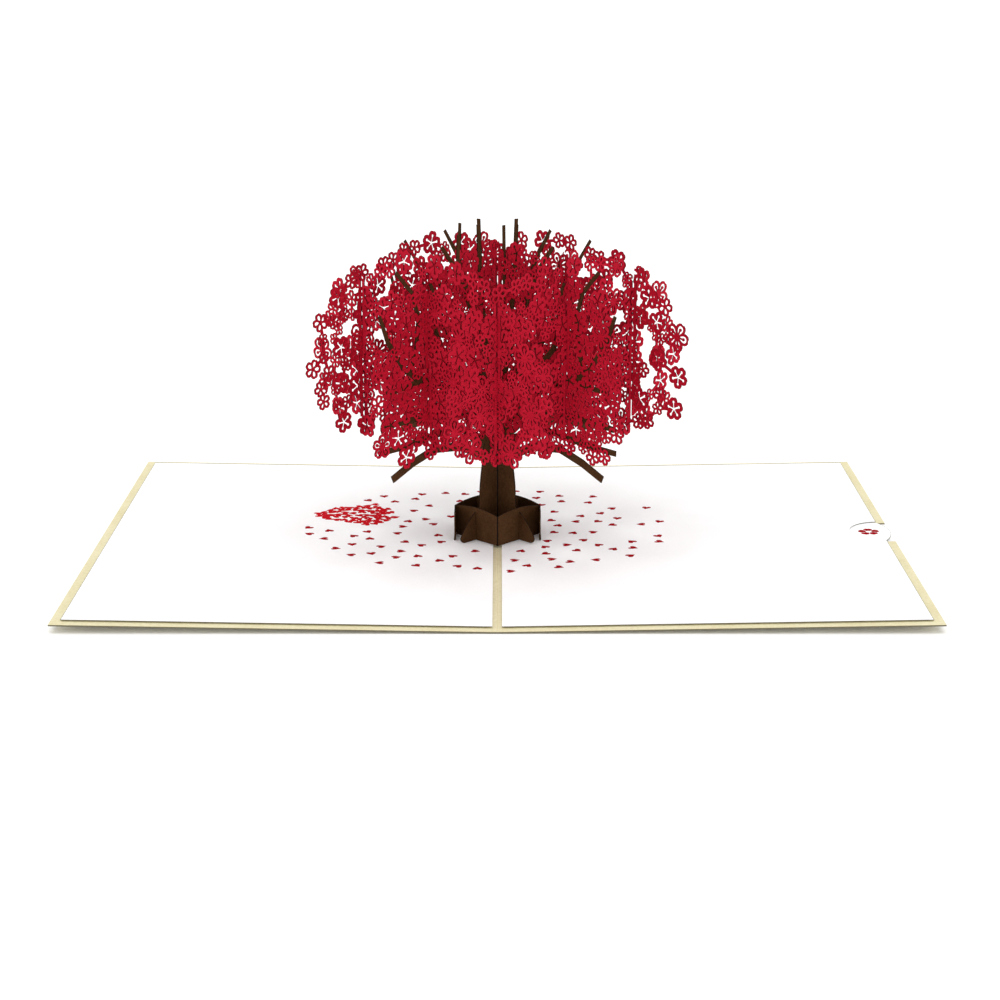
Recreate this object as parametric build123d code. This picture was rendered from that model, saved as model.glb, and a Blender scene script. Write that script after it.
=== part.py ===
"""Pop up card with a blossom tree that stands on the fold.

Millimetres. The origin is under the middle of the spine, +X runs across the open card to the right
page, +Y from the front edge to the back edge, +Z up. The tree is a sliceform: two families of upright
sheets at 45 degrees to the spine, slotted into each other at every crossing.
"""
from build123d import *
import math
import os

# Card: a 5 x 7 inch card, open
leaf_width = 127.0
card_depth = 177.8
cover_thickness = 0.4
spine_flat = 2.8
spine_score = 0.12
leaf_lift = 0.97

# Pages and the pocket behind them
page_thickness = 0.22
page_border = 3.0
tape_thickness = 0.36
tape_width = 6.0
tape_inset = 1.0

# Pull-out note
note_thickness = 0.26
note_side_clearance = 8.9
note_end_clearance = 4.3
note_corner = 3.0
note_middle_y = 1.0
notch_radius = 10.0
tab_overhang = 3.0

# Tree: paper, the lattice and the slots
paper = 0.3
slot_clearance = 0.2
stand_clearance = 0.05
tree_y = 4.0
sheet_pitch = 30.2
half_lap_z = 62.0
trunk_lap_z = 50.0

# Blossom sheets: a domed top edge and a flatter bottom edge
canopy_z = 62.0
canopy_half_length = 48.5
canopy_up = 29.5
canopy_down = 23.5
middle_half_length = 50.0
middle_up = 30.0
middle_down = 26.5
bottom_flatness = 4.0
middle_bottom_flatness = 9.0
rim_blossoms = 23
blossom_radius = 4.5
opening_radius = 2.3
opening_columns = (-1.22, -0.78, -0.5, -0.22, 0.22, 0.5, 0.78, 1.22)
opening_levels = ((0.45,), (-0.7, 0.2))
middle_opening_levels = ((0.55,), ())

# Trunk and branches
trunk_top_z = 60.0
trunk_top_half_width = 2.6
root_reach = 16.7
root_toe = 1.8
branch_reach = 50.0
branch_width = 2.4
twig_width = 1.2
twig_top_z = 102.8

# Ring at the foot of the tree
ring_half = 9.7
ring_height = 9.5
ring_arch = 1.15
ring_lap = 5.0
flap_length = 8.0
foot_width = 6.0
foot_length = 4.0

# Worked out from the sizes above
page_floor = cover_thickness + tape_thickness
page_top = page_floor + page_thickness
leaf_flat = leaf_width - spine_flat / 2
page_width = leaf_flat - page_border
page_depth = card_depth - 2 * page_border
pocket_depth = page_depth - 2 * (tape_inset + tape_width)
ring_corner = ring_half * math.sqrt(2)
foot_start = ring_corner - spine_flat / 2 - paper / 2
tree_floor = page_top + ring_corner * math.sin(math.radians(leaf_lift)) + stand_clearance
slot_width = paper + 2 * slot_clearance
double_slot_width = 2 * paper + 2 * slot_clearance
golden = (math.sqrt(5) - 1) / 2

os.makedirs("parts", exist_ok=True)


def save(name, shape):
    """Write one piece under its node name."""
    shape.label = name
    export_step(shape, f"parts/{name}.step")


def leaf_place(side):
    """Frame of one leaf: x runs outward from the crease for side 1, inward for side -1."""
    return Pos(side * spine_flat / 2, 0, 0) * Rot(0, -side * leaf_lift, 0)


def leaf_box(side, x_from, x_to, y_from, y_to, z_from, z_to):
    """A flat box on a leaf, in distances from its crease and from its underside."""
    size = (x_to - x_from, y_to - y_from, z_to - z_from)
    centre = (side * (x_from + x_to) / 2, (y_from + y_to) / 2, (z_from + z_to) / 2)
    return leaf_place(side) * Pos(*centre) * Box(*size)


def spread(index, seed):
    """Even, repeatable scatter between -0.5 and 0.5."""
    return (index * golden + seed * 0.377) % 1.0 - 0.5


def polygon(points):
    """Flat face inside a closed run of points."""
    return make_face(Polyline(*points, close=True))


def blossom(x, z, radius, turn):
    """Five-lobed blossom outline, four points to a petal."""
    points = []
    for step in range(20):
        angle = math.tau * step / 20
        reach = radius * (0.84 + 0.16 * math.cos(5 * angle))
        points.append((x + reach * math.cos(angle + turn), z + reach * math.sin(angle + turn)))
    return polygon(points)


def opening(x, z, radius, turn):
    """Five-pointed opening in the lace, ten points."""
    points = []
    for step in range(10):
        angle = math.tau * step / 10
        reach = radius * (1.0 if step % 2 == 0 else 0.5)
        points.append((x + reach * math.cos(angle + turn), z + reach * math.sin(angle + turn)))
    return polygon(points)


def canopy_rim(in_middle, count):
    """Points on the edge of a blossom sheet: half an ellipse above, a flattened one below."""
    half_length = middle_half_length if in_middle else canopy_half_length
    up = middle_up if in_middle else canopy_up
    down = middle_down if in_middle else canopy_down
    flatness = middle_bottom_flatness if in_middle else bottom_flatness
    path = []
    for step in range(count):
        across = math.cos(math.tau * step / count)
        height = math.sin(math.tau * step / count)
        if height < 0:
            across = math.copysign(abs(across) ** (2 / flatness), across)
            height = -abs(height) ** (2 / flatness)
        path.append((half_length * across, canopy_z + height * (up if height > 0 else down)))
    return path


def rim_spots(in_middle, seed):
    """Blossom places spread along the edge of a sheet, as (x, z, outward angle)."""
    path = canopy_rim(in_middle, 720)
    path.append(path[0])
    run = [0.0]
    for before, after in zip(path, path[1:]):
        run.append(run[-1] + math.dist(before, after))
    spots = []
    k = 1
    for index in range(rim_blossoms):
        target = run[-1] * (index + 0.5 + 0.35 * spread(index, seed)) / rim_blossoms
        while run[k] < target:
            k += 1
        step = (path[k][0] - path[k - 1][0], path[k][1] - path[k - 1][1])
        spots.append((*path[k], math.atan2(-step[0], step[1])))
    return spots


def upright_plane(family, offset):
    """Plane of a tree sheet: x runs to the right along the sheet, y is up, the normal faces the front."""
    along = (1, -1, 0) if family == "a" else (1, 1, 0)
    facing = (-1, -1, 0) if family == "a" else (1, -1, 0)
    shift = offset / math.sqrt(2)
    return Plane(origin=(facing[0] * shift, tree_y + facing[1] * shift, 0), x_dir=along, z_dir=facing)


def upright_sheet(sketch, family, offset):
    """Cut sheet of paper standing on its plane, centred on it."""
    return extrude(upright_plane(family, offset - paper / 2) * sketch, amount=paper)


def slot(x, width, z_from, z_to):
    """Upright slot in a sheet."""
    return Pos(x, (z_from + z_to) / 2) * Rectangle(width, z_to - z_from)


def crossing_slots(family, in_middle, middle_lap):
    """The three half-lap slots of a sheet, each open at the top or at the bottom edge.

    The two middle sheets go together first, then the outer sheets come down over them from above.
    """
    sides_open_up = in_middle or family == "a"
    centre_opens_up = in_middle and family == "a"
    shift = paper / 2 if family == "a" else -paper / 2
    crossings = [(-sheet_pitch, slot_width, half_lap_z, sides_open_up),
                 (sheet_pitch, slot_width, half_lap_z, sides_open_up),
                 (shift, double_slot_width, middle_lap, centre_opens_up)]
    cuts = []
    for x, width, lap, opens_up in crossings:
        if opens_up:
            cuts.append(slot(x, width, lap - slot_clearance / 2, 2 * twig_top_z))
        else:
            cuts.append(slot(x, width, -twig_top_z, lap + slot_clearance / 2))
    return cuts


def canopy_sketch(family, in_middle, seed):
    """Blossom lace: a filled sheet with a rim of blossoms, openings and slots."""
    filled = [polygon(canopy_rim(in_middle, 40))]
    for index, (x, z, outward) in enumerate(rim_spots(in_middle, seed)):
        radius = blossom_radius * (1 + 0.3 * spread(index, seed + 3))
        push = blossom_radius * 0.3 * spread(index, seed + 5)
        turn = outward + 0.6 * spread(index, seed + 7)
        filled.append(blossom(x + push * math.cos(outward), z + push * math.sin(outward), radius, turn))
    open_parts = crossing_slots(family, in_middle, trunk_lap_z if in_middle else half_lap_z)
    levels = middle_opening_levels if in_middle else opening_levels
    for column, place in enumerate(opening_columns):
        x = place * sheet_pitch
        reach = canopy_up * math.sqrt(1 - (x / canopy_half_length) ** 2) - blossom_radius
        for level in levels[column % 2]:
            spot = x + opening_radius * spread(column, seed + 11 + level)
            height = canopy_z + reach * level + opening_radius * spread(column, seed + 13 + level)
            open_parts.append(opening(spot, height, opening_radius, column + level))
    # Scraps of petal that a slot cuts loose fall away
    return max((Sketch() + filled - open_parts).faces(), key=lambda face: face.area)


def limb(points, width_from, width_to):
    """Tapered branch along a run of points, cut square at its end."""
    left = []
    right = []
    last = len(points) - 1
    for k, (x, z) in enumerate(points):
        before = points[max(k - 1, 0)]
        after = points[min(k + 1, last)]
        run = math.dist(before, after)
        across = (-(after[1] - before[1]) / run, (after[0] - before[0]) / run)
        half = (width_from + (width_to - width_from) * k / last) / 2
        left.append((x + across[0] * half, z + across[1] * half))
        right.append((x - across[0] * half, z - across[1] * half))
    return polygon(left + right[::-1])


def trunk_outline():
    """Trunk with its two rounded roots, in shares of the ring's half width and the trunk's height."""
    shares = [(0.85, 0.2), (0.835, 0.265), (0.735, 0.39), (0.685, 0.46), (0.47, 0.7)]
    flank = [(ring_half * across, trunk_top_z * up) for across, up in shares]
    flank.append((trunk_top_half_width, trunk_top_z))
    toe = (root_reach - root_toe, tree_floor)
    bend = (root_reach - root_toe * (1 - math.sqrt(0.5)), tree_floor + root_toe * (1 - math.sqrt(0.5)))
    heel = (root_reach, tree_floor + root_toe)
    shoulder = (ring_half, tree_floor + ring_height)
    middle = (0.3 * shoulder[0] + 0.7 * heel[0], 0.4 * shoulder[1] + 0.6 * heel[1])
    root = [heel, middle, shoulder]
    edges = [Line((-toe[0], toe[1]), toe)]
    for side in (-1, 1):
        edges += [ThreePointArc(*[(side * x, z) for x, z in (toe, bend, heel)]),
                  Spline(*[(side * x, z) for x, z in root]),
                  Line(*[(side * x, z) for x, z in (shoulder, flank[0])]),
                  Spline(*[(side * x, z) for x, z in flank])]
    edges.append(Line((-trunk_top_half_width, trunk_top_z), flank[-1]))
    return make_face(edges)


def trunk_sketch(family):
    """Trunk, boughs, branches and twigs of one brown sheet.

    Each run of points is in shares of the branches' reach and of the tree's height, after the sides it
    grows on. Boughs pass the side slots below the half lap and fork above it.
    """
    bough, branch, twig = 1.25 * branch_width, branch_width, twig_width
    left, right, both = (-1,), (1,), (-1, 1)
    limbs = [
        (both, [(0.024, 0.506), (0.12, 0.623), (0.21, 0.73), (0.3, 0.817), (0.356, 0.874), (0.48, 0.948)],
         bough, twig),
        (left, [(0.328, 0.841), (0.344, 0.905), (0.338, 0.978)], 1.2 * twig, twig),
        (right, [(0.036, 0.55), (0.064, 0.75), (0.056, 0.986)], 1.2 * twig, twig),
        (both, [(0.092, 0.589), (0.124, 0.72), (0.154, 0.866), (0.168, 1)], 1.5 * twig, 1.2 * twig),
        (both, [(0.048, 0.486), (0.2, 0.545), (0.4, 0.593), (0.49, 0.642), (0.544, 0.71), (0.528, 0.778),
                (0.578, 0.846)], branch, twig),
        (both, [(0.064, 0.428), (0.36, 0.506), (0.604, 0.549), (0.7, 0.568), (0.806, 0.607), (0.932, 0.693),
                (0.996, 0.774)], bough, twig),
        (both, [(0.66, 0.558), (0.83, 0.545), (0.952, 0.541)], 1.5 * twig, twig),
        (both, [(0.75, 0.584), (0.696, 0.661), (0.68, 0.749), (0.73, 0.827), (0.86, 0.895)],
         1.5 * twig, twig),
        (both, [(0.072, 0.386), (0.4, 0.447), (0.686, 0.445), (0.9, 0.442), (1, 0.434)],
         branch, 0.75 * branch),
        (both, [(0.088, 0.321), (0.36, 0.388), (0.68, 0.375), (0.86, 0.366), (1.02, 0.364)],
         branch, 0.75 * branch),
        (both, [(0.088, 0.27), (0.32, 0.325), (0.55, 0.337), (0.74, 0.31), (0.912, 0.274)], bough, branch)]
    filled = [trunk_outline()]
    for sides, shares, width_from, width_to in limbs:
        for side in sides:
            run = [(side * branch_reach * across, twig_top_z * up) for across, up in shares]
            filled.append(limb(run, width_from, width_to))
    open_parts = crossing_slots(family, True, trunk_lap_z)
    for side in (-1, 1):
        lap = tree_floor + ring_lap
        open_parts.append(slot(side * ring_half, slot_width, lap, lap + ring_height))
    return max((Sketch() + filled - open_parts).faces(), key=lambda face: face.area)


def wall_sketch(start, end):
    """One side of the ring seen square on: arched top edge and a slot below for the trunk sheet."""
    top = tree_floor + ring_height
    arch = ThreePointArc((start, top), ((start + end) / 2, top + ring_arch), (end, top))
    sides = [Line((end, top), (end, tree_floor)), Line((end, tree_floor), (start, tree_floor)),
             Line((start, tree_floor), (start, top))]
    lap = slot(0, slot_width, tree_floor - 1, tree_floor + ring_lap + slot_clearance)
    return make_face([arch] + sides) - lap


def thumb_notch(floor, thickness):
    """Cutter for the thumb notch in a layer of the right leaf: half round, open at the outer edge."""
    place = leaf_place(1) * Pos(page_width, note_middle_y, floor + thickness / 2)
    open_end = Pos(page_border, 0, 0) * Box(2 * page_border, 2 * notch_radius, 3 * thickness)
    return place * (Cylinder(notch_radius, 3 * thickness) + open_end)


def build_cover():
    """One folded sheet: a flat band at the spine, two leaves that lift a little and a thumb notch."""
    cosine = math.cos(math.radians(leaf_lift))
    sine = math.sin(math.radians(leaf_lift))
    crease = spine_flat / 2
    tip = (crease + leaf_flat * cosine, leaf_flat * sine)
    rim = (tip[0] - cover_thickness * sine, tip[1] + cover_thickness * cosine)
    inner = crease - cover_thickness * math.tan(math.radians(leaf_lift) / 2)
    half = [(crease, 0), tip, rim, (inner, cover_thickness), (spine_score, cover_thickness)]
    mirrored = [(-x, z) for x, z in half[::-1]]
    section = polygon([*half, (0, cover_thickness - spine_score), *mirrored])
    folded = extrude(Plane.XZ * section, amount=card_depth / 2, both=True)
    return folded - thumb_notch(0, cover_thickness)


def page_slit(side):
    """Slit in a page for the foot of the ring's flap."""
    middle = ring_corner - spine_flat / 2
    half = slot_width / 2
    y_from = tree_y - flap_length / 2 - foot_width / 2 - slot_clearance
    y_to = tree_y - flap_length / 2 + foot_width / 2 + slot_clearance
    return leaf_box(side, middle - half, middle + half, y_from, y_to, page_floor - 1, page_top + 1)


def build_page(side):
    """White page on its tape, with the slit and, on the right, the thumb notch."""
    half = page_depth / 2
    page = leaf_box(side, 0, page_width, -half, half, page_floor, page_top) - page_slit(side)
    if side > 0:
        page -= thumb_notch(page_floor, page_thickness)
    return page


def build_tape(side, place):
    """One strip of double-sided tape under a page."""
    half = page_depth / 2 - tape_inset
    near = tape_inset
    far = page_width - tape_inset
    spans = {"front": (near, far, -half, -half + tape_width),
             "back": (near, far, half - tape_width, half),
             "inner": (near, near + tape_width, -half + tape_width, half - tape_width),
             "outer": (far - tape_width, far, -half + tape_width, half - tape_width)}
    return leaf_box(side, *spans[place], cover_thickness, page_floor)


def build_note():
    """Blank slip with a round tab that reaches the card's edge."""
    start = foot_start + foot_length + note_end_clearance
    end = page_width - tab_overhang
    length = end - start
    depth = pocket_depth - 2 * note_side_clearance
    body = Pos(start + length / 2, note_middle_y) * RectangleRounded(length, depth, note_corner)
    low = (end - note_corner, note_middle_y - notch_radius)
    high = (end - note_corner, note_middle_y + notch_radius)
    shoulder = page_width
    tab = make_face([Line(low, (shoulder, low[1])),
                     ThreePointArc((shoulder, low[1]), (leaf_flat, note_middle_y), (shoulder, high[1])),
                     Line((shoulder, high[1]), high), Line(high, low)])
    flat = extrude(Sketch() + body + tab, amount=note_thickness)
    return leaf_place(1) * Pos(0, 0, cover_thickness) * flat


def build_front_wall():
    """Front V of the ring, folded at the corner that points to the front edge."""
    gap = 2 * paper
    reach = ring_half + paper / 2
    left = upright_sheet(wall_sketch(-ring_half + gap, reach), "a", ring_half)
    right = upright_sheet(wall_sketch(-reach, ring_half - gap), "b", ring_half)
    return left + right


def build_back_wall():
    """Back V of the ring with a flap at each end, each with a foot through the page and bent under it."""
    reach = ring_half + paper / 2
    wall = upright_sheet(wall_sketch(-reach, reach), "b", -ring_half)
    wall += upright_sheet(wall_sketch(-reach, reach), "a", -ring_half)
    middle_y = tree_y - flap_length / 2
    foot_z = cover_thickness + (tape_thickness - paper) / 2
    leg_from = foot_z + foot_start * math.sin(math.radians(leaf_lift))
    leg_to = tree_floor + ring_lap
    for side in (-1, 1):
        x = side * ring_corner
        wall += Pos(x, middle_y, tree_floor + ring_height / 2) * Box(paper, flap_length, ring_height)
        wall += Pos(x, middle_y, (leg_from + leg_to) / 2) * Box(paper, foot_width, leg_to - leg_from)
        wall += leaf_box(side, foot_start, foot_start + foot_length, middle_y - foot_width / 2,
                         middle_y + foot_width / 2, foot_z, foot_z + paper)
    return wall


save("cover", build_cover())
save("left_panel", build_page(-1))
save("right_panel", build_page(1))
for place in ("front", "back", "inner", "outer"):
    save(f"left_tape_{place}", build_tape(-1, place))
for place in ("front", "back", "inner"):
    save(f"right_tape_{place}", build_tape(1, place))
save("pull_out_note", build_note())
save("base_front_wall", build_front_wall())
save("base_back_wall", build_back_wall())
for number, family in enumerate("ab"):
    save(f"trunk_sheet_{family}", upright_sheet(trunk_sketch(family), family, 0.0))
    rows = {"front": sheet_pitch, "middle": paper, "back": -sheet_pitch}
    for row, (place, offset) in enumerate(rows.items()):
        sketch = canopy_sketch(family, place == "middle", 3 * number + row)
        save(f"blossoms_{family}_{place}", upright_sheet(sketch, family, offset))
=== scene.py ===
"""Dresses a paper pop up card: blossom lace, printed pages, paper finishes and a pale studio.

The cutting plans are drawn in millimetres; settings and meshes are in metres, in the card's frame.
"""
import math
import random
from types import SimpleNamespace

import bpy
from bpy.props import FloatProperty, FloatVectorProperty, IntProperty, PointerProperty
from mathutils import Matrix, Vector
from mathutils.geometry import delaunay_2d_cdt


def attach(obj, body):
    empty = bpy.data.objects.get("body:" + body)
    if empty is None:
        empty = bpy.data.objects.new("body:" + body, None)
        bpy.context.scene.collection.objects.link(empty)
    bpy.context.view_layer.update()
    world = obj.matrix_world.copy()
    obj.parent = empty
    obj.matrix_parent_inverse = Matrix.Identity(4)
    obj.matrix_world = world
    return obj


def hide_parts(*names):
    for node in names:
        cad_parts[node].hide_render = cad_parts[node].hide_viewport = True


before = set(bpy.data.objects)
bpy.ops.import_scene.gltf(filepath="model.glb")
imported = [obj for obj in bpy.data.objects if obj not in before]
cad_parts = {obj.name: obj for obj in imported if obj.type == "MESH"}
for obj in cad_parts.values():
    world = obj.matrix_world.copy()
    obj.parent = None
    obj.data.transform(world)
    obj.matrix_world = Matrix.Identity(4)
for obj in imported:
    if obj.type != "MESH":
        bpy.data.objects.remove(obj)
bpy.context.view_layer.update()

bl_info = {
    "name": "Blossom Tree Pop Up Card",
    "version": (1, 0, 0),
    "blender": (4, 5, 0),
    "location": "View3D > Sidebar > Pop Up Card",
    "description": "Blossom lace, printed pages, paper finishes and studio for a pop up card",
    "category": "Object",
}

MM = 0.001
# The tree's sheets stand at 45 degrees to the fold
DIAGONAL = math.sqrt(0.5)
# Steps of the even scatter, from place to place and from sheet to sheet
GOLDEN = (math.sqrt(5) - 1) / 2
SEED_STEP = 0.377
SHEET_ROWS = ("front", "middle", "back")
LACE_SEEDS = {"a": (0, 1, 2), "b": (3, 4, 5)}
# Seeds of the random draws for the first sheet and for the hearts
FIRST_LACE_DRAW = 100
HEART_DRAW = 14
# Windows in a sheet: places along it as shares of the pitch, heights as shares of its rise, by turns
WINDOW_COLUMNS = (-1.22, -0.78, -0.5, -0.22, 0.22, 0.5, 0.78, 1.22)
WINDOW_LEVELS = ((0.45,), (-0.7, 0.2))
# Fall of the camera's line of sight to the sheet behind, for each millimetre along the sheet
SIGHT_FALL = 0.41
# Below the widest line: the lowest window and the end of the looser spacing of a middle sheet
WINDOW_DROP = 14.0
LOOSE_DROP = 8.0
# Material slots of a printed sheet: the slot after each holds its underside, the next but one its cut edge
PAPER_SLOT = 1
# The band slot holds painted shade lines along the edges, in the edge colour.
MARK_SLOTS = {"print": 0, "scorch": 3, "heap print": 6}
# Clusters along a sheet's edge: steps of the path, then how far their places, sizes and depths vary
RIM_STEPS = 720
RIM_STAGGER = 0.35
RIM_SPREAD = 0.3
RIM_PUSH = 0.3
# Up to which draw a cluster is one large blossom, one star or one open blossom; past them it is a pair
LARGE_DRAW = 0.18
STAR_DRAW = 0.58
OPEN_DRAW = 0.76
# How often each kind of blossom is cut inside the edge
BIG_MIX = {"star": 0.66, "daisy": 0.2, "large": 0.14}
BIG_END_MIX = {"star": 0.72, "daisy": 0.05, "large": 0.23}
SMALL_MIX = {"small": 0.55, "open": 0.45}
# Tries to place a blossom, how many of them are for big ones, and how near the edge they go
STREW_TRIES = 5000
BIG_TRIES = 1500
STREW_DEPTH = 0.98
# The airier ends of a sheet start this far past its outer slots, or this near its edge
END_START = 2.0
END_DEPTH = 0.74
# Blossoms nearer than this share of their radii hang together; stems of this half width tie the others
TOUCHING = 0.62
STEM_HALF_WIDTH = 0.5
# Teardrop cut in a petal: its ends and half width as shares of the blossom's radius, then its corners
PETAL_DROPS = {"open": (0.2, 0.95, 0.43, 9), "large": (0.2, 0.95, 0.42, 14), "small": (0.24, 0.76, 0.2, 7)}
# Bar with a round end along a petal: its ends and the round end's middle as shares of the blossom's radius,
# then its half width and the round end's radius in millimetres
PETAL_PINS = {"star": (0.0, 0.5, 0.56, 0.24, 0.5), "large": (0.1, 0.5, 0.54, 0.26, 0.55)}
PIN_CORNERS = 7
DAISY_PETALS = 10
# Ground of the loose hearts: its middle from the tree's foot, its half width and half depth, what is kept
# clear of the trunk and the fold, all in millimetres, and of the heap as a share of the heap's width
GROUND_MIDDLE = (-3, 6)
GROUND_REACH = (60, 47)
CLEAR_OF_TRUNK = 18
CLEAR_OF_FOLD = 4.0
CLEAR_OF_HEAP = 0.62
# Tries to place a heart in the heap and on the ground
HEAP_TRIES = 900
LOOSE_TRIES = 6000
# Blossom on the tab, in millimetres: its middle from the page's edge, its radius, its eye and its clefts
MARK_INSET = 3.9
MARK_RADIUS = 3.6
MARK_EYE = 1.0
MARK_CLEFT = (0.8, 2.6, 0.15)
MARK_TURN = 0.3
# Steps in each corner of the note, in each half of its tab and round the thumb notch
CORNER_STEPS = 12
TAB_STEPS = 12
NOTCH_STEPS = 96
# Noise values where a paper shows its deep and its light tone
FIBRE_TONES = (0.34, 0.62)
# Cosine that parts a sheet's faces from its cut edges, by their normals
EDGE_COSINE = 0.7
# Sockets of a Mix node that share one name, by number
MIX_A = 2
MIX_B = 3
MIX_COLOUR_A = 6
MIX_COLOUR_B = 7
MIX_COLOUR_OUT = 2
# Floor: its width and place in metres, its tone as it lights the card and as it is seen, and its glow
FLOOR_WIDTH = 8.0
FLOOR_Z = -0.0002
FLOOR_LIT = "#dcdcdc"
FLOOR_SEEN = "#fdfdfd"
FLOOR_GLOW = 0.06
# Where the softbox stands, seen from the card
SUN_TOWARD = (0.0, -0.12, 1.0)
# What the triangulation keeps, and how near two points become one, in millimetres
INSIDE_ONLY = 1
MERGE_MM = 1e-4


def length(name, description, millimetres):
    """A length that a user may change."""
    return FloatProperty(name=name, description=description, default=millimetres * MM, precision=5,
                         subtype="DISTANCE", unit="LENGTH")


def angle(name, description, degrees):
    """An angle that a user may change."""
    return FloatProperty(name=name, description=description, default=math.radians(degrees),
                         subtype="ANGLE", unit="ROTATION")


def settings_of(group):
    """The settings of a group that a user may change."""
    return [prop for prop in group.bl_rna.properties if not prop.is_readonly and prop.identifier != "name"]


def on_plan(group):
    """A plain copy of a settings group with its lengths in millimetres."""
    copy = SimpleNamespace()
    for prop in settings_of(group):
        value = getattr(group, prop.identifier)
        is_length = prop.type == "FLOAT" and prop.unit == "LENGTH"
        setattr(copy, prop.identifier, value / MM if is_length else value)
    return copy


class CardSizes(bpy.types.PropertyGroup):
    """Sizes of the folded card and its pages."""
    spine_flat: length("Spine", "Width of the flat band at the fold", 2.8)
    leaf_lift: angle("Lift", "How far each leaf lifts", 0.97)
    cover: length("Cover", "Thickness of the cover", 0.4)
    page: length("Page", "Thickness of a page", 0.22)
    page_floor: length("Page floor", "Height of a page above the leaf's underside", 0.76)
    page_width: length("Page width", "Page from the crease to its outer edge", 122.6)
    page_depth: length("Page depth", "Page from front to back", 171.8)
    notch_radius: length("Notch", "Radius of the thumb notch", 10.0)
    notch_y: length("Notch y", "Middle of the thumb notch", 1.0)
    slit_x: length("Slit", "Distance of the foot's slit from the crease", 12.32)
    slit_y: length("Slit y", "Middle of the foot's slit", 0.0)
    slit_width: length("Slit width", "Width of the foot's slit", 0.7)
    slit_length: length("Slit length", "Length of the foot's slit", 6.4)
    note: length("Note", "Thickness of the pull-out note", 0.26)
    note_start: length("Note start", "Inner end of the note from the crease", 20.468)
    note_end: length("Note end", "Outer end of the note without its tab", 119.6)
    note_depth: length("Note depth", "Note from front to back", 140.0)
    note_corner: length("Note corner", "Radius of the note's corners", 3.0)
    tab_end: length("Tab end", "Tip of the tab from the crease", 125.6)
    # The two widths below belong to thin bands in the edge colour: painted shade lines round the tab and
    # along the edges of the pages.
    scorch: length("Scorch", "Width of the scorched line round the tab and the pages", 0.1)
    back_scorch: length("Back scorch", "Width of the scorched line along the back edge of a page", 0.45)


class LaceSizes(bpy.types.PropertyGroup):
    """Sizes of the blossom sheets."""
    tree_y: length("Tree y", "Place of the tree along the fold", 4.0)
    paper: length("Paper", "Thickness of the red paper", 0.3)
    pitch: length("Pitch", "Distance between neighbouring sheets", 30.2)
    lap_z: length("Lap", "Height where the slots of two outer sheets meet", 62.0)
    middle_lap_z: length("Middle lap", "Height where the slots of the two middle sheets meet", 50.0)
    slot_clearance: length("Slot clearance", "Gap beside the paper in a slot", 0.2)
    canopy_z: length("Canopy height", "Height of the widest line of the canopy", 62.0)
    half_length: length("Half length", "Half length of an outer sheet without its rim", 48.5)
    up: length("Up", "Rise of an outer sheet above the widest line", 29.5)
    down: length("Down", "Drop of an outer sheet below the widest line", 23.5)
    middle_half_length: length("Middle half length", "Half length of a middle sheet", 50.0)
    middle_up: length("Middle up", "Rise of a middle sheet", 30.0)
    middle_down: length("Middle down", "Drop of a middle sheet", 26.5)
    flatness: FloatProperty(name="Flatness", description="Power of an outer sheet's lower edge", default=4.0)
    middle_flatness: FloatProperty(name="Middle flatness", description="Power of a middle sheet's lower edge",
                                   default=9.0)
    rim_count: IntProperty(name="Rim clusters", description="Blossom clusters along the edge", default=23)
    rim_radius: length("Rim radius", "Radius of a cluster at the edge", 4.5)
    margin: length("Margin", "Whole paper on each side of a slot", 1.05)
    stroke: length("Stroke", "Width of the thinnest line of paper", 0.68)
    open_radius: length("Open blossom", "Radius of an open blossom", 2.9)
    small_radius: length("Small blossom", "Radius of a small blossom with round cuts", 2.3)
    star_radius: length("Star blossom", "Radius of a blossom with a star cut", 4.0)
    large_radius: length("Large blossom", "Radius of an open blossom with stamens", 4.9)
    daisy_radius: length("Daisy", "Radius of a round blossom with narrow cuts", 4.2)
    window: length("Window", "Radius of a window in the lace", 2.3)
    spacing: FloatProperty(name="Spacing", description="Distance between blossoms in the middle of a sheet, "
                           "as a share of their radii", default=0.67)
    end_spacing: FloatProperty(name="End spacing", description="Distance between blossoms at the ends of a "
                               "sheet, as a share of their radii", default=0.9)
    middle_spacing: FloatProperty(name="Middle spacing", description="Distance between blossoms in the upper "
                                  "part of a middle sheet, as a share of their radii", default=0.8)


class PrintSizes(bpy.types.PropertyGroup):
    """Sizes of the printed hearts."""
    heart: length("Heart", "Width of a printed heart", 3.1)
    loose: IntProperty(name="Loose hearts", description="Hearts scattered round the tree", default=96)
    apart: length("Apart", "Least distance between scattered hearts", 6.0)
    heap_x: length("Heap x", "Middle of the heap of hearts", -47.0)
    heap_y: length("Heap y", "Middle of the heap of hearts", 24.0)
    heap: length("Heap", "Width of the heap of hearts", 27.0)
    heap_apart: length("Heap spacing", "Least distance between hearts in the heap", 1.85)


def colour(name, description, hex_value):
    """A colour that a user may change, given as sRGB hex."""
    return FloatVectorProperty(name=name, description=description, subtype="COLOR", size=3,
                               default=linear(hex_value)[:3], min=0.0, max=1.0)


def linear(hex_value):
    """sRGB hex to linear RGBA."""
    channels = [int(hex_value[k:k + 2], 16) / 255 for k in (1, 3, 5)]
    return (*[c / 12.92 if c <= 0.04045 else ((c + 0.055) / 1.055) ** 2.4 for c in channels], 1.0)


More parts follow.
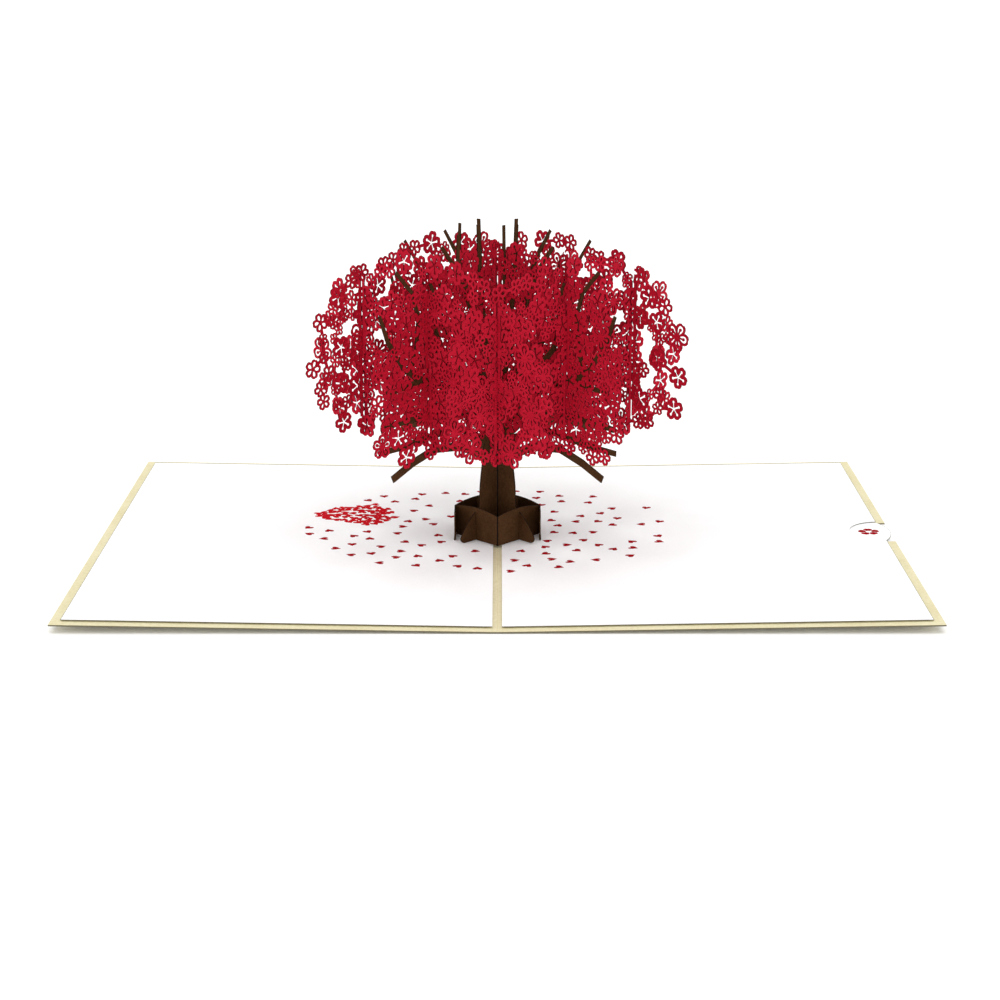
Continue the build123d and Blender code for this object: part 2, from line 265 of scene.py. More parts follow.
class CardColours(bpy.types.PropertyGroup):
    """Colours of the papers and the print."""
    red: colour("Red paper", "Face of the blossom sheets", "#c31730")
    red_deep: colour("Red paper, deep", "Darker fibres of the red paper", "#a80c24")
    # The red edge colour is laser scorch with painted shade on the thin edge.
    red_edge: colour("Red paper, edge", "Scorched cut edge of the red paper", "#54060f")
    brown: colour("Brown paper", "Face of the trunk sheets", "#4e341d")
    brown_deep: colour("Brown paper, deep", "Darker fibres of the brown paper", "#3c2410")
    # The brown edge colour also paints the line at x = 0, which is painted shade where the trunk sheets
    # cross.
    brown_edge: colour("Brown paper, edge", "Scorched cut edge of the brown paper", "#190e08")
    cream: colour("Cover", "Face of the cream cover", "#e5debb")
    cream_deep: colour("Cover, deep", "Darker fibres of the cream cover", "#d9cfa7")
    # The cover's edge colour is painted shade on its thin edge.
    cream_edge: colour("Cover, edge", "Scorched cut edge of the cream cover", "#766f5b")
    page: colour("Page", "Face of the white pages", "#fbfcfc")
    page_deep: colour("Page, deep", "Darker fibres of the white pages", "#f5f6f6")
    # The page's edge colour is painted shade: the thin dark line of shade round a page, also laid on the
    # bands along its edges.
    page_edge: colour("Page, edge", "Scorched cut edge of the white pages", "#6f6854")
    note: colour("Note", "Face of the pull-out note", "#fafbfb")
    print_red: colour("Print", "Ink of the loose hearts and the mark", "#a2141e")
    heap_red: colour("Heap print", "Brighter ink of the heap of hearts", "#c81c26")
    tape: colour("Tape", "Milky film of the double-sided tape", "#e4e2da")


class StageSizes(bpy.types.PropertyGroup):
    """Camera and light of the studio."""
    camera_back: length("Camera back", "Distance of the camera in front of the card's middle", 650.5)
    camera_up: length("Camera height", "Height of the camera", 201.2)
    camera_side: length("Camera side", "Distance of the camera to the right of the fold", 0.8)
    pitch: angle("Pitch", "How far the camera looks down", 16.085)
    lens: FloatProperty(name="Lens", description="Focal length on a 36 mm frame", default=75.8,
                        unit="CAMERA")
    sun: FloatProperty(name="Sun", description="Strength of the overhead softbox", default=1.48)
    sun_spread: angle("Sun spread", "Width of the overhead softbox as the card sees it", 64.0)
    sky_low: FloatProperty(name="Low sky", description="Light of the sky at the horizon", default=1.5)
    sky_high: FloatProperty(name="High sky", description="Light of the sky overhead", default=0.4)


def scatter_value(index, seed):
    """Even, repeatable scatter between -0.5 and 0.5, as on the cutting plan."""
    return (index * GOLDEN + seed * SEED_STEP) % 1.0 - 0.5


# Meshes

def new_piece(name, points, faces, face_slots, materials):
    """A mesh object at the origin with its place in its mesh."""
    mesh = bpy.data.meshes.new(name)
    mesh.from_pydata(points, [], faces)
    for material in materials:
        mesh.materials.append(material)
    mesh.polygons.foreach_set("material_index", face_slots)
    mesh.update()
    piece = bpy.data.objects.new(name, mesh)
    bpy.context.scene.collection.objects.link(piece)
    return piece


def thicken(piece, thickness, offset, face_offset, rim_offset):
    """Gives a flat cut sheet its paper thickness, with its own finish on the cut edge."""
    bpy.ops.object.select_all(action="DESELECT")
    piece.select_set(True)
    bpy.context.view_layer.objects.active = piece
    bpy.ops.object.modifier_add(type="SOLIDIFY")
    modifier = piece.modifiers[-1]
    modifier.thickness = thickness
    modifier.offset = offset
    modifier.material_offset = face_offset
    modifier.material_offset_rim = rim_offset
    bpy.ops.object.modifier_apply(modifier=modifier.name)
    piece.select_set(False)


def adopt(piece, body, node):
    """Lets a piece ride on a body and stand for a node."""
    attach(piece, body)
    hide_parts(node)


# Blossom shapes, as flat loops in millimetres

def ring_loop(x, z, radius, count, turn=0.0):
    """A round loop."""
    ways = [turn + math.tau * k / count for k in range(count)]
    return [(x + radius * math.cos(way), z + radius * math.sin(way)) for way in ways]


def box_loop(x_from, x_to, y_from, y_to):
    """A rectangle."""
    return [(x_from, y_from), (x_to, y_from), (x_to, y_to), (x_from, y_to)]


def petal_loop(x, z, radius, turn, petals=5, lobe_at=0.6, lobe=0.4, notch=0.08, steps=8):
    """Outline of a blossom: round petals, each with a small notch in its tip."""
    half = math.pi / petals
    loop = []
    for petal in range(petals):
        for step in range(steps):
            bend = half * (2 * step / steps - 1)
            inner = max(lobe ** 2 - (lobe_at * math.sin(bend)) ** 2, 0.0)
            reach = lobe_at * math.cos(bend) + math.sqrt(inner)
            reach -= notch * math.exp(-(bend / (0.2 * half)) ** 2)
            way = turn + math.tau * petal / petals + bend
            loop.append((x + radius * reach * math.cos(way), z + radius * reach * math.sin(way)))
    return loop


def drop_loop(x, z, way, start, end, half_width, count):
    """A teardrop opening along a petal, round at its outer end."""
    middle = (start + end) / 2
    half = (end - start) / 2
    loop = []
    for k in range(count):
        bend = math.tau * k / count
        along = middle + half * math.cos(bend)
        across = half_width * math.sin(bend) * (0.76 + 0.24 * math.cos(bend))
        loop.append((x + along * math.cos(way) - across * math.sin(way),
                     z + along * math.sin(way) + across * math.cos(way)))
    return loop


def bar_loop(x, z, way, start, end, half_width):
    """A straight narrow bar pointing away from a centre."""
    return [(x + a * math.cos(way) - b * math.sin(way), z + a * math.sin(way) + b * math.cos(way))
            for a, b in box_loop(start, end, -half_width, half_width)]


class Blossom:
    """One blossom of the lace: its outline, the openings cut in it and the lines left standing in them."""

    def __init__(self, kind, x, z, radius, turn, stroke):
        self.place = (x, z)
        self.radius = radius
        self.openings = []
        self.clefts = []
        self.lines = []
        if kind == "daisy":
            self.outline = petal_loop(x, z, radius, turn, DAISY_PETALS, lobe_at=0.78, lobe=0.25, notch=0.0,
                                      steps=4)
            for k in range(DAISY_PETALS):
                way = turn + math.tau * k / DAISY_PETALS
                self.openings.append(drop_loop(x, z, way, 0.32 * radius, 0.84 * radius, 0.1 * radius, 6))
            return
        self.outline = petal_loop(x, z, radius, turn)
        for k in range(5):
            way = turn + math.tau * k / 5
            self.cut_petal(kind, x, z, radius, way, stroke)
            between = way + math.pi / 5
            self.clefts.append(drop_loop(x, z, between, 0.6 * radius, 1.0 * radius, 0.15 * radius, 6))

    def cut_petal(self, kind, x, z, radius, way, stroke):
        """Openings and standing lines of one petal: a star is cut by its pins, a large blossom keeps them."""
        if kind in PETAL_DROPS:
            start, end, half_width, corners = PETAL_DROPS[kind]
            border = 0.0 if kind == "small" else stroke
            self.openings.append(drop_loop(x, z, way, start * radius, end * radius - border,
                                           half_width * radius - border, corners))
        if kind in PETAL_PINS:
            start, end, knob_at, half_width, knob = PETAL_PINS[kind]
            pins = self.openings if kind == "star" else self.lines
            pins.append(bar_loop(x, z, way, start * radius, end * radius, half_width))
            pins.append(ring_loop(x + knob_at * radius * math.cos(way),
                                  z + knob_at * radius * math.sin(way), knob, PIN_CORNERS))


class SheetPlan:
    """Flat cutting plan of one blossom sheet, in millimetres along the sheet and up."""

    def __init__(self, sizes, family, row, seed):
        self.sizes = sizes
        self.family = family
        self.in_middle = row == "middle"
        self.seed = seed
        self.half_length = sizes.middle_half_length if self.in_middle else sizes.half_length
        self.up = sizes.middle_up if self.in_middle else sizes.up
        self.down = sizes.middle_down if self.in_middle else sizes.down
        self.flatness = sizes.middle_flatness if self.in_middle else sizes.flatness

    def rim(self, count):
        """Points on the sheet's edge: half an ellipse above, a flattened one below."""
        path = []
        for step in range(count):
            across = math.cos(math.tau * step / count)
            height = math.sin(math.tau * step / count)
            if height < 0:
                across = math.copysign(abs(across) ** (2 / self.flatness), across)
                height = -abs(height) ** (2 / self.flatness)
            rise = self.up if height > 0 else self.down
            path.append((self.half_length * across, self.sizes.canopy_z + height * rise))
        return path

    def depth(self, x, z):
        """0 in the middle of the sheet, 1 on its edge."""
        across = abs(x) / self.half_length
        rise = z - self.sizes.canopy_z
        if rise >= 0:
            return math.hypot(across, rise / self.up)
        power = self.flatness
        return (across ** power + (-rise / self.down) ** power) ** (1 / power)

    def clusters(self):
        """Blossom clusters along the edge, as (x, z, radius, outward angle)."""
        path = self.rim(RIM_STEPS)
        path.append(path[0])
        run = [0.0]
        for before, after in zip(path, path[1:]):
            run.append(run[-1] + math.dist(before, after))
        places = []
        k = 1
        for index in range(self.sizes.rim_count):
            share = index + 0.5 + RIM_STAGGER * scatter_value(index, self.seed)
            target = run[-1] * share / self.sizes.rim_count
            while run[k] < target:
                k += 1
            step = (path[k][0] - path[k - 1][0], path[k][1] - path[k - 1][1])
            outward = math.atan2(-step[0], step[1])
            radius = self.sizes.rim_radius * (1 + RIM_SPREAD * scatter_value(index, self.seed + 3))
            push = self.sizes.rim_radius * RIM_PUSH * scatter_value(index, self.seed + 5)
            places.append((path[k][0] + push * math.cos(outward), path[k][1] + push * math.sin(outward),
                           radius, outward))
        return places

    def slots(self):
        """The half-lap slots, as loops that run out past the sheet's edge."""
        sizes = self.sizes
        sides_open_up = self.in_middle or self.family == "a"
        centre_opens_up = self.in_middle and self.family == "a"
        shift = sizes.paper / 2 if self.family == "a" else -sizes.paper / 2
        single = sizes.paper + 2 * sizes.slot_clearance
        double = 2 * sizes.paper + 2 * sizes.slot_clearance
        middle_lap = sizes.middle_lap_z if self.in_middle else sizes.lap_z
        loops = []
        for x, width, lap, opens_up in ((-sizes.pitch, single, sizes.lap_z, sides_open_up),
                                        (sizes.pitch, single, sizes.lap_z, sides_open_up),
                                        (shift, double, middle_lap, centre_opens_up)):
            reach = 2 * sizes.canopy_z if opens_up else -sizes.canopy_z
            loops.append(box_loop(x - width / 2, x + width / 2, lap, reach))
        return loops

    def windows(self):
        """Places of the gaps that show the branches behind."""
        sizes = self.sizes
        if self.in_middle:
            return self.windows_in_line()
        places = []
        for column, share in enumerate(WINDOW_COLUMNS):
            x = share * sizes.pitch
            rise = sizes.up * math.sqrt(1 - (x / sizes.half_length) ** 2) - sizes.rim_radius
            for level in WINDOW_LEVELS[column % 2]:
                height = sizes.canopy_z + rise * level
                places.append((x + sizes.window * scatter_value(column, self.seed + 11 + level),
                               height + sizes.window * scatter_value(column, self.seed + 13 + level)))
        return places

    def windows_in_line(self):
        """Gaps of a middle sheet: behind the gaps of the front sheet that stands before it."""
        other, side = ("b", 1) if self.family == "a" else ("a", -1)
        before = SheetPlan(self.sizes, other, "front", LACE_SEEDS[other][0])
        seen = [(x + side * self.sizes.pitch, z - SIGHT_FALL * abs(x))
                for x, z in before.windows() if x * side < 0]
        return [place for place in seen if place[1] > self.sizes.canopy_z - WINDOW_DROP]

    def edge_height(self, x, is_upper):
        """Height of the sheet's upper or lower edge at a place along it."""
        power = 2.0 if is_upper else self.flatness
        rise = (1 - min(abs(x) / self.half_length, 1.0) ** power) ** (1 / power)
        return self.sizes.canopy_z + rise * (self.up if is_upper else -self.down)

    def margins(self):
        """Bands of whole paper beside the sheet's own slots."""
        bands = []
        margin = self.sizes.margin
        for (left, lap), (right, _), (_, reach), _ in self.slots():
            top = self.edge_height((left + right) / 2, True) - margin
            bottom = self.edge_height((left + right) / 2, False) + margin
            low, high = (lap - margin, top) if reach > lap else (bottom, lap + margin)
            bands.append(box_loop(left - margin, right + margin, low, high))
        return bands

    def rim_blossoms(self, rng):
        """Blossoms in the clusters along the edge: one large, star or open one, or a pair of open ones."""
        sizes = self.sizes
        flowers = []
        for x, z, radius, outward in self.clusters():
            pick = rng.random()
            is_crown = self.in_middle and abs(x) < sizes.pitch / 5 and z > sizes.canopy_z
            if pick < LARGE_DRAW or is_crown:
                layout = [("large", 0.0, min(sizes.large_radius, 1.05 * radius))]
            elif pick < STAR_DRAW:
                layout = [("star", 0.0, min(sizes.star_radius, radius))]
            elif pick < OPEN_DRAW:
                layout = [("open", 0.0, 1.1 * sizes.open_radius)]
            else:
                layout = [("open", side * 0.48 * radius, sizes.open_radius) for side in (-1, 1)]
            for kind, aside, reach in layout:
                reach *= rng.uniform(0.94, 1.04)
                away = math.sqrt(max((radius - 0.8 * reach) ** 2 - aside ** 2, 0.0))
                flowers.append(Blossom(kind, x + away * math.cos(outward) - aside * math.sin(outward),
                                       z + away * math.sin(outward) + aside * math.cos(outward), reach,
                                       rng.uniform(0, math.tau), sizes.stroke))
        return flowers

    def inner_blossoms(self, rng, rim):
        """Blossoms strewn over the rest of the sheet, the big ones first, then small ones between them."""
        sizes = self.sizes
        reaches = {"star": sizes.star_radius, "small": sizes.small_radius, "open": sizes.open_radius,
                   "daisy": sizes.daisy_radius, "large": sizes.large_radius}
        placed = list(rim)
        windows = self.windows()
        for attempt in range(STREW_TRIES):
            x = rng.uniform(-self.half_length, self.half_length)
            z = sizes.canopy_z + rng.uniform(-self.down, self.up)
            depth = self.depth(x, z)
            is_end = abs(x) > sizes.pitch + END_START or depth > END_DEPTH
            mix = SMALL_MIX
            if attempt < BIG_TRIES:
                mix = BIG_END_MIX if is_end else BIG_MIX
            kind = rng.choices(list(mix), list(mix.values()))[0]
            reach = reaches[kind] * rng.uniform(0.9, 1.08)
            share = sizes.end_spacing if is_end else sizes.spacing
            if self.in_middle:
                share = sizes.middle_spacing if z > sizes.canopy_z - LOOSE_DROP else sizes.spacing
            if depth > STREW_DEPTH:
                continue
            if any(math.dist((x, z), other.place) < share * (reach + other.radius) for other in placed):
                continue
            if any(math.dist((x, z), window) < sizes.window + 0.8 * reach for window in windows):
                continue
            placed.append(Blossom(kind, x, z, reach, rng.uniform(0, math.tau), sizes.stroke))
        return placed[len(rim):]

    def stems(self, flowers):
        """Short bars of paper that tie each stray group of blossoms to the rest."""
        count = len(flowers)
        group = list(range(count))
        pairs = []
        for a in range(count):
            for b in range(a):
                apart = math.dist(flowers[a].place, flowers[b].place)
                slack = apart - TOUCHING * (flowers[a].radius + flowers[b].radius)
                pairs.append((slack, a, b))
        bars = []
        for slack, a, b in sorted(pairs):
            if group[a] == group[b]:
                continue
            if slack > 0:
                x, z = flowers[a].place
                way = math.atan2(flowers[b].place[1] - z, flowers[b].place[0] - x)
                apart = math.dist(flowers[a].place, flowers[b].place)
                bars.append(bar_loop(x, z, way, 0.0, apart, STEM_HALF_WIDTH))
            old = group[a]
            group = [group[b] if mark == old else mark for mark in group]
        return bars

    def cut(self):
        """Points and triangles of the sheet once it is cut."""
        rng = random.Random(FIRST_LACE_DRAW + self.seed)
        rim = self.rim_blossoms(rng)
        inner = self.inner_blossoms(rng, rim)
        flowers = inner + rim
        groups = [("stem", 0, self.stems(flowers))]
        for index, flower in enumerate(flowers):
            groups.append(("outline", index, [flower.outline]))
            groups.append(("opening", index - 0.5, flower.clefts))
            groups.append(("opening", index, flower.openings))
            groups.append(("line", index, flower.lines))
        groups.append(("margin", 0, self.margins()))
        groups.append(("slot", 0, self.slots()))
        loops = [loop for _, _, group in groups for loop in group]
        roles = [(role, level) for role, level, group in groups for _ in group]
        return cut_sheet(loops, roles)


def overlay(loops):
    """Triangulates overlapping loops; says for each triangle which loops lie over it."""
    points = []
    faces = []
    for loop in loops:
        turn = sum(a[0] * b[1] - b[0] * a[1] for a, b in zip(loop, loop[1:] + loop[:1]))
        faces.append(list(range(len(points), len(points) + len(loop))))
        points.extend(Vector(point) for point in (loop if turn > 0 else loop[::-1]))
    points, _, triangles, _, _, sources = delaunay_2d_cdt(points, [], faces, INSIDE_ONLY, MERGE_MM, True)
    return points, triangles, sources


def cut_sheet(loops, roles):
    """Keeps what is paper: the upper blossom decides, slots go through."""
    points, triangles, sources = overlay(loops)
    kept = []
    for triangle, origin in zip(triangles, sources):
        named = [roles[k] for k in origin]
        if any(role == "slot" for role, _ in named):
            continue
        top = {"outline": -2, "opening": -1, "line": -2}
        for role, index in named:
            top[role] = max(top.get(role, index), index)
        is_paper = top["outline"] > top["opening"] or top["line"] >= top["opening"]
        if "margin" in top or is_paper or ("stem" in top and top["outline"] < 0):
            kept.append(triangle)
    return points, largest_part(kept)


def largest_part(triangles):
    """The biggest run of triangles that hang together by their edges."""
    by_edge = {}
    for number, triangle in enumerate(triangles):
        for k in range(3):
            edge = frozenset((triangle[k], triangle[k - 1]))
            by_edge.setdefault(edge, []).append(number)
    group = [None] * len(triangles)
    sizes = []
    for first in range(len(triangles)):
        if group[first] is not None:
            continue
        group[first] = len(sizes)
        waiting = [first]
        count = 0
        while waiting:
            number = waiting.pop()
            count += 1
            triangle = triangles[number]
            for k in range(3):
                for other in by_edge[frozenset((triangle[k], triangle[k - 1]))]:
                    if group[other] is None:
                        group[other] = len(sizes)
                        waiting.append(other)
        sizes.append(count)
    biggest = sizes.index(max(sizes))
    return [triangle for number, triangle in enumerate(triangles) if group[number] == biggest]


def used_points(points, triangles):
    """Drops the points that no triangle uses and renumbers the rest."""
    order = {}
    for triangle in triangles:
        for k in triangle:
            order.setdefault(k, len(order))
    return [points[k] for k in order], [[order[k] for k in triangle] for triangle in triangles]


# Finishes

def add_node(tree, kind, settings=(), links=()):
    """Adds one node with its settings and incoming links."""
    node = tree.nodes.new(kind)
    for name, value in dict(settings).items():
        if isinstance(name, int) or name in node.inputs:
            node.inputs[name].default_value = value
        else:
            setattr(node, name, value)
    for name, source in dict(links).items():
        tree.links.new(source, node.inputs[name])
    return node


def cut_edge_mask(tree, place, axis, is_face_axis, score_and_shade_mm=0.0):
    """1 on the cut edges of a sheet: where the normal leaves its face, or looks up or down.

    A score width adds a dark line at x = 0, where the sheet is folded or slotted: the fold's score on the
    ring, painted shade in the valley where the trunk sheets cross.
    """
    turned = add_node(tree, "ShaderNodeVectorMath", {"operation": "DOT_PRODUCT", 1: axis},
                      {0: place.outputs["Normal"]})
    size = add_node(tree, "ShaderNodeMath", {"operation": "ABSOLUTE"}, {0: turned.outputs["Value"]})
    kind = "LESS_THAN" if is_face_axis else "GREATER_THAN"
    mask = add_node(tree, "ShaderNodeMath", {"operation": kind, 1: EDGE_COSINE}, {0: size.outputs[0]})
    if score_and_shade_mm > 0:
        across = add_node(tree, "ShaderNodeSeparateXYZ", (), {"Vector": place.outputs["Object"]})
        off = add_node(tree, "ShaderNodeMath", {"operation": "ABSOLUTE"}, {0: across.outputs["X"]})
        line = add_node(tree, "ShaderNodeMath", {"operation": "LESS_THAN", 1: score_and_shade_mm / 2 * MM},
                        {0: off.outputs[0]})
        mask = add_node(tree, "ShaderNodeMath", {"operation": "MAXIMUM"},
                        {0: mask.outputs[0], 1: line.outputs[0]})
    return mask.outputs[0]


def paper_finish(name, light, deep, fibre_mm, cloud_mm, roughness, relief, edge=None, sheen=0.1):
    """Uncoated paper: matted fibres give a fine mottle and a dull, slightly rough face.

    Real fibres are a few hundredths of a millimetre wide; they are drawn as coarse as they need to show.
    The edge is (colour, axis, whether the axis is the face's, width of a score line), for a darker cut edge:
    painted shade on the cover; on the brown card a scorched edge and a line at x = 0 that is partly painted
    shade.
    """
    material = bpy.data.materials.new(name)
    material.use_nodes = True
    tree = material.node_tree
    tree.nodes.clear()
    place = add_node(tree, "ShaderNodeTexCoord")
    fibre = add_node(tree, "ShaderNodeTexNoise", {"Scale": 1 / (fibre_mm * MM), "Detail": 4.0},
                     {"Vector": place.outputs["Object"]})
    cloud = add_node(tree, "ShaderNodeTexNoise", {"Scale": 1 / (cloud_mm * MM), "Detail": 2.0},
                     {"Vector": place.outputs["Object"]})
    both = add_node(tree, "ShaderNodeMix", {"Factor": 0.4},
                    {MIX_A: fibre.outputs["Fac"], MIX_B: cloud.outputs["Fac"]})
    tone = add_node(tree, "ShaderNodeValToRGB", (), {"Fac": both.outputs[0]})
    for element, position, value in zip(tone.color_ramp.elements, FIBRE_TONES, (deep, light)):
        element.position = position
        element.color = (*value, 1.0)
    face = tone.outputs["Color"]
    if edge is not None:
        mixed = add_node(tree, "ShaderNodeMix", {"data_type": "RGBA", MIX_COLOUR_B: (*edge[0], 1.0)},
                         {"Factor": cut_edge_mask(tree, place, *edge[1:]), MIX_COLOUR_A: face})
        face = mixed.outputs[MIX_COLOUR_OUT]
    bump = add_node(tree, "ShaderNodeBump", {"Strength": relief, "Distance": 0.05 * MM},
                    {"Height": fibre.outputs["Fac"]})
    shader = add_node(tree, "ShaderNodeBsdfPrincipled",
                      {"Roughness": roughness, "IOR": 1.45, "Specular IOR Level": sheen},
                      {"Base Color": face, "Normal": bump.outputs["Normal"]})
    add_node(tree, "ShaderNodeOutputMaterial", (), {"Surface": shader.outputs["BSDF"]})
    return material


def shade(value, factor):
    """A colour made lighter or darker."""
    return tuple(channel * factor for channel in value)


def scorched_edge(name, light, depth):
    """Dark, quite dull cut edge with a fibre mottle: laser scorch and painted edge shade on the red paper,
    painted shade on the pages.
    """
    return paper_finish(name, light, shade(light, depth),
                        fibre_mm=0.3, cloud_mm=4.0, roughness=0.9, relief=0.2)


def printing_ink(name, light):
    """Offset ink on paper: a thin, dull layer that takes on the paper's fibres."""
    return paper_finish(name, light, shade(light, 0.8),
                        fibre_mm=0.5, cloud_mm=6.0, roughness=0.75, relief=0.1, sheen=0.0)


def red_paper(colours):
    """Dyed red text paper: saturated, soft, with short darker fibres."""
    return paper_finish("dyed_red_paper", colours.red, colours.red_deep,
                        fibre_mm=0.55, cloud_mm=9.0, roughness=0.78, relief=0.35)


def red_cut_edge(colours):
    """Laser cut edge of the red paper: scorched, and darkened with painted edge shade, to a dark wine red."""
    return scorched_edge("scorched_red_edge", colours.red_edge, 0.6)


def brown_card(colours, name, axis, is_face_axis):
    """Dyed brown card: coarser fibres that catch the light, a dark scorched edge and a dark line at x = 0
    that is partly painted shade.
    """
    # Width of the dark line at x = 0: the fold score on the ring, painted shade in the trunk's crossing
    # valley.
    score_and_shade_mm = 0.45
    edge = (colours.brown_edge, axis, is_face_axis, score_and_shade_mm)
    return paper_finish(name, colours.brown, colours.brown_deep,
                        fibre_mm=0.6, cloud_mm=7.0, roughness=0.82, relief=0.6, edge=edge)


def trunk_card_a(colours):
    """Brown card of the trunk sheet that runs from back left to front right."""
    return brown_card(colours, "brown_trunk_card_a", (DIAGONAL, DIAGONAL, 0.0), True)


def trunk_card_b(colours):
    """Brown card of the trunk sheet that runs from front left to back right."""
    return brown_card(colours, "brown_trunk_card_b", (DIAGONAL, -DIAGONAL, 0.0), True)


def ring_card(colours):
    """Brown card of the folded ring, dark on its upper and lower edges."""
    return brown_card(colours, "brown_ring_card", (0.0, 0.0, 1.0), False)


def cream_card(colours):
    """Cream cover card with a faint felt mark; the darker tan on its cut edge is painted shade."""
    edge = (colours.cream_edge, (0.0, 0.0, 1.0), True)
    return paper_finish("cream_cover_card", colours.cream, colours.cream_deep,
                        fibre_mm=0.9, cloud_mm=14.0, roughness=0.7, relief=0.3, edge=edge, sheen=0.0)


def white_page(colours):
    """Smooth white text paper."""
    return paper_finish("white_text_paper", colours.page, colours.page_deep,
                        fibre_mm=0.5, cloud_mm=16.0, roughness=0.72, relief=0.15)


def page_cut_edge(colours):
    """Cut edge of a page: a greyish tan, painted shade that draws a thin line round the page."""
    return scorched_edge("scorched_page_edge", colours.page_edge, 0.7)


def note_paper(colours):
    """Slightly warmer white card of the note."""
    return paper_finish("white_note_card", colours.note, shade(colours.note, 0.97),
                        fibre_mm=0.5, cloud_mm=12.0, roughness=0.72, relief=0.15)


def printed_red(colours):
    """Red ink of the loose hearts and of the mark on the tab."""
    return printing_ink("red_printing_ink", colours.print_red)


def printed_heap_red(colours):
    """Brighter red ink of the heap of hearts."""
    return printing_ink("bright_red_printing_ink", colours.heap_red)


def clear_tape(colours):
    """Double-sided tape: milky film with a dull adhesive face."""
    return paper_finish("double_sided_tape", colours.tape, shade(colours.tape, 0.9),
                        fibre_mm=1.2, cloud_mm=10.0, roughness=0.5, relief=0.1)


def finish(build):
    """The one material that a finish function makes, made on its first use."""
    name = build.__name__
    store = bpy.context.scene.get("card_finishes", {})
    made = bpy.data.materials.get(store[name]) if name in store else None
    if made is None:
        made = build(bpy.context.scene.card_colours)
        store = dict(store)
        store[name] = made.name
        bpy.context.scene["card_finishes"] = store
    return made


# Pieces

class CARD_OT_paper_finishes(bpy.types.Operator):
    """Give the cover, the tape, the trunk and the ring their paper"""
    bl_idname = "card.paper_finishes"
    bl_label = "Paper Finishes"

    def execute(self, context):
        finishes = {"cover": cream_card, "trunk_sheet_a": trunk_card_a, "trunk_sheet_b": trunk_card_b,
                    "base": ring_card, "left_tape": clear_tape, "right_tape": clear_tape}
        for node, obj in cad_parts.items():
            for start, build in finishes.items():
                if node.startswith(start):
                    obj.data.materials.clear()
                    obj.data.materials.append(finish(build))
        return {"FINISHED"}


class CARD_OT_blossom_lace(bpy.types.Operator):
    """Cut the six red blossom sheets"""
    bl_idname = "card.blossom_lace"
    bl_label = "Blossom Lace"

    def execute(self, context):
        sizes = on_plan(context.scene.lace_sizes)
        offsets = {"front": sizes.pitch, "middle": sizes.paper, "back": -sizes.pitch}
        for family, seeds in LACE_SEEDS.items():
            turn = -1 if family == "a" else 1
            along = Vector((DIAGONAL, turn * DIAGONAL, 0))
            facing = Vector((turn * DIAGONAL, -DIAGONAL, 0))
            for row, seed in zip(SHEET_ROWS, seeds):
                flat, triangles = used_points(*SheetPlan(sizes, family, row, seed).cut())
                start = Vector((0, sizes.tree_y, 0)) + facing * offsets[row]
                points = [(start + along * p[0] + Vector((0, 0, p[1]))) * MM for p in flat]
                node = f"blossoms_{family}_{row}"
                piece = new_piece(f"lace_{family}_{row}", points, triangles, [0] * len(triangles),
                                  [finish(red_paper), finish(red_cut_edge)])
                thicken(piece, sizes.paper * MM, 0.0, 0, 1)
                adopt(piece, "card", node)
        return {"FINISHED"}


def heart_loop(x, y, width, turn, count=16):
    """A heart outline: the common heart curve, which is 32 units wide, drawn a little taller."""
    loop = []
    unit = width / 32
    for k in range(count):
        t = math.tau * k / count
        across = unit * 16 * math.sin(t) ** 3
        up = 13 * math.cos(t) - 5 * math.cos(2 * t) - 2 * math.cos(3 * t) - math.cos(4 * t)
        up *= 1.15 * unit
        loop.append((x + across * math.cos(turn) - up * math.sin(turn),
                     y + across * math.sin(turn) + up * math.cos(turn)))
    return loop


def is_in_heap(a, b):
    """Whether a place in a unit square lies in a heart on its side, its tip to the left."""
    shoulder = 0.2
    cleft = 0.28
    half = 0.5 * math.sqrt(max(0.0, (0.5 + a) * 1.15))
    if a >= shoulder:
        half *= 1 - (a - shoulder) / 0.35
    is_in_cleft = a > cleft and abs(b) < 0.10 * (a - cleft) / 0.22
    return abs(b) < half and not is_in_cleft


def heart_places(sizes, tree_y):
    """Where the hearts are printed, in the card's frame: loose ones round the tree and one heap."""
    rng = random.Random(HEART_DRAW)
    places = []
    heap = []
    for _ in range(HEAP_TRIES):
        a = rng.uniform(-0.5, 0.5)
        b = rng.uniform(-0.5, 0.5)
        spot = (sizes.heap_x + a * sizes.heap, sizes.heap_y + b * sizes.heap)
        if is_in_heap(a, b) and all(math.dist(spot, other) > sizes.heap_apart for other in heap):
            heap.append(spot)
    for _ in range(LOOSE_TRIES):
        if len(places) >= sizes.loose:
            break
        # The power strews them a little thicker towards the tree
        reach = rng.random() ** 0.62
        way = rng.uniform(0, math.tau)
        spot = (GROUND_MIDDLE[0] + GROUND_REACH[0] * reach * math.cos(way),
                tree_y + GROUND_MIDDLE[1] + GROUND_REACH[1] * reach * math.sin(way))
        if math.hypot(spot[0], spot[1] - tree_y) < CLEAR_OF_TRUNK or abs(spot[0]) < CLEAR_OF_FOLD:
            continue
        if math.dist(spot, (sizes.heap_x, sizes.heap_y)) < CLEAR_OF_HEAP * sizes.heap:
            continue
        if all(math.dist(spot, other) > sizes.apart for other in places):
            places.append(spot)
    inks = ["print"] * len(places) + ["heap print"] * len(heap)
    return [(x, y, rng.uniform(0, math.tau), ink) for (x, y), ink in zip(places + heap, inks)]


